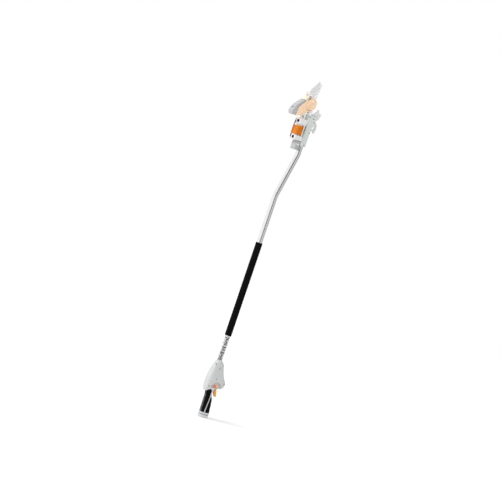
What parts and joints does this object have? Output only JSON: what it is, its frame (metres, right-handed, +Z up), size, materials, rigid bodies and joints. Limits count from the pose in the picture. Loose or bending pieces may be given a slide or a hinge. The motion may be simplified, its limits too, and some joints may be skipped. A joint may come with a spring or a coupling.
{
  "type": "pole saw",
  "caption": "Battery pruner in a cradle on a bent aluminium extension shaft, with sleeve grip and remote trigger handle.",
  "frame": {"origin": "on the lower shaft's axis, at the flat underside of the handle's base cap", "axes": "+Z up along the lower shaft, +X towards the trigger side, -Y the near side of the picture"},
  "size_m": [0.1603, 0.0545, 1.5988],
  "materials": {
    "pale_plastic": "pale grey moulded plastic, satin",
    "cap_plastic": "light grey moulded plastic",
    "black_rubber": "black soft-touch rubber with diagonal ribs",
    "black_foam": "black closed-cell sleeve",
    "bright_aluminium": "bright drawn aluminium",
    "orange_plastic": "orange moulded plastic",
    "red_orange_plastic": "red-orange moulded plastic",
    "steel": "plain steel",
    "faded_steel": "pale ground steel",
    "dark_steel": "dark brown steel",
    "sheath_plastic": "black cable sheath",
    "holder_plastic": "grey-green moulded plastic",
    "cradle_plastic": "pale moulded plastic",
    "black_plastic": "black moulded plastic",
    "faded_grey": "faded grey plastic",
    "faded_peach": "faded peach-orange plastic",
    "faded_cream": "faded cream plastic",
    "faded_white": "near-white plastic",
    "neck_plastic": "greenish grey plastic",
    "brass": "turned brass"
  },
  "bodies": {
    "frame": {"base_cap": "cap_plastic", "grip_shell_near": "pale_plastic", "grip_shell_far": "pale_plastic", "rear_pad": "black_rubber", "front_pad": "black_rubber", "hand_trigger_pin": "steel", "hand_trigger_spring": "steel", "shell_screw_grip": "steel", "shell_screw_front": "steel", "shell_screw_middle": "steel", "shell_screw_top_front": "steel", "shell_screw_top_rear": "steel", "tube_lock_screw": "steel", "shaft_tube": "bright_aluminium", "sleeve_grip": "black_foam", "cable_sheath": "sheath_plastic", "pull_wire": "steel", "holder_shell_near": "holder_plastic", "holder_shell_far": "holder_plastic", "holder_screw_low": "steel", "holder_screw_front": "steel", "holder_screw_top": "steel", "claw_bolt": "steel", "hook_bolt": "steel", "collar_bolt": "steel", "cradle_screw_low": "steel", "cradle_screw_top": "steel", "claw": "holder_plastic", "branch_hook": "faded_grey", "squeeze_pin": "steel", "cradle_frame": "cradle_plastic", "hinge_pin": "dark_steel", "frame_bolt_low": "black_plastic", "frame_bolt_top": "black_plastic", "pruner_grip": "neck_plastic", "pruner_trigger_pin": "steel", "body_shell_near": "faded_peach", "body_shell_far": "faded_peach", "motor_cap": "faded_grey", "top_cover": "faded_cream", "under_cover": "faded_white", "under_cover_screw": "dark_steel", "motor_can": "steel", "guide_bar": "faded_steel", "saw_chain": "faded_steel", "sprocket_cover": "faded_peach", "cover_nut": "faded_cream", "hood_pin": "faded_steel"},
    "hand_trigger": {"hand_trigger": "orange_plastic", "cable_nipple": "brass"},
    "thumb_lock": {"thumb_lock": "red_orange_plastic"},
    "squeeze_lever": {"squeeze_lever": "black_plastic"},
    "clamp_strap": {"clamp_strap": "orange_plastic"},
    "pruner_trigger": {"pruner_trigger": "black_plastic"},
    "release_button": {"release_button": "faded_grey"},
    "battery": {"battery": "faded_grey"},
    "battery_latch": {"battery_latch": "faded_white"},
    "motor_rotor": {"motor_shaft": "steel"},
    "drive_gear": {"drive_gear": "steel"},
    "chain_hood": {"chain_hood": "faded_white"}
  },
  "joints": [
    {"name": "hand_trigger_hinge", "type": "hinge", "parent": "frame", "child": "hand_trigger", "pos_m": [0.028, 0, 0.166], "axis": [0, 1, 0], "range_deg": [0, 12], "stiffness_Nm_per_rad": 0.6, "springref_deg": -5.73},
    {"name": "thumb_lock_slide", "type": "slide", "parent": "frame", "child": "thumb_lock", "axis": [0, 1, 0], "range_m": [0, 0.004], "stiffness_N_per_m": 400, "springref_m": -0.001},
    {"name": "squeeze_lever_hinge", "type": "hinge", "parent": "frame", "child": "squeeze_lever", "pos_m": [0.035, 0, 1.4], "axis": [0, 1, 0], "range_deg": [0, 18]},
    {"name": "pruner_trigger_hinge", "type": "hinge", "parent": "frame", "child": "pruner_trigger", "pos_m": [0.005, 0, 1.398], "axis": [0, 1, 0], "range_deg": [0, 18]},
    {"name": "release_button_slide", "type": "slide", "parent": "frame", "child": "release_button", "axis": [0, 1, 0], "range_m": [0, 0.0025], "stiffness_N_per_m": 300, "springref_m": -0.001},
    {"name": "clamp_strap_hinge", "type": "hinge", "parent": "frame", "child": "clamp_strap", "pos_m": [-0.0185, 0.0145, 1.3665], "axis": [0, 0, 1], "range_deg": [-100, 0]},
    {"name": "chain_hood_hinge", "type": "hinge", "parent": "frame", "child": "chain_hood", "pos_m": [-0.013, 0, 1.536], "axis": [0, 1, 0], "range_deg": [-55, 0], "stiffness_Nm_per_rad": 0.05, "springref_deg": 28.65},
    {"name": "battery_slide", "type": "slide", "parent": "frame", "child": "battery", "axis": [0, 0, -1], "range_m": [0, 0.04]},
    {"name": "battery_latch_press", "type": "slide", "parent": "battery", "child": "battery_latch", "axis": [0, 1, 0], "range_m": [0, 0.0015], "stiffness_N_per_m": 400, "springref_m": -0.001},
    {"name": "chain_drive_spin", "type": "hinge", "parent": "frame", "child": "drive_gear", "pos_m": [0.015, 0, 1.492], "axis": [0, 1, 0], "continuous": true},
    {"name": "motor_spin", "type": "hinge", "parent": "frame", "child": "motor_rotor", "pos_m": [-0.056, 0, 1.4435], "axis": [0.7572, 0, 0.6531], "continuous": true}
  ],
  "couplings": [
    {"joint": "squeeze_lever_hinge", "follows": "hand_trigger_hinge", "ratio": 1.5},
    {"joint": "pruner_trigger_hinge", "follows": "hand_trigger_hinge", "ratio": 1.5},
    {"joint": "motor_spin", "follows": "chain_drive_spin", "ratio": 2.7}
  ]
}
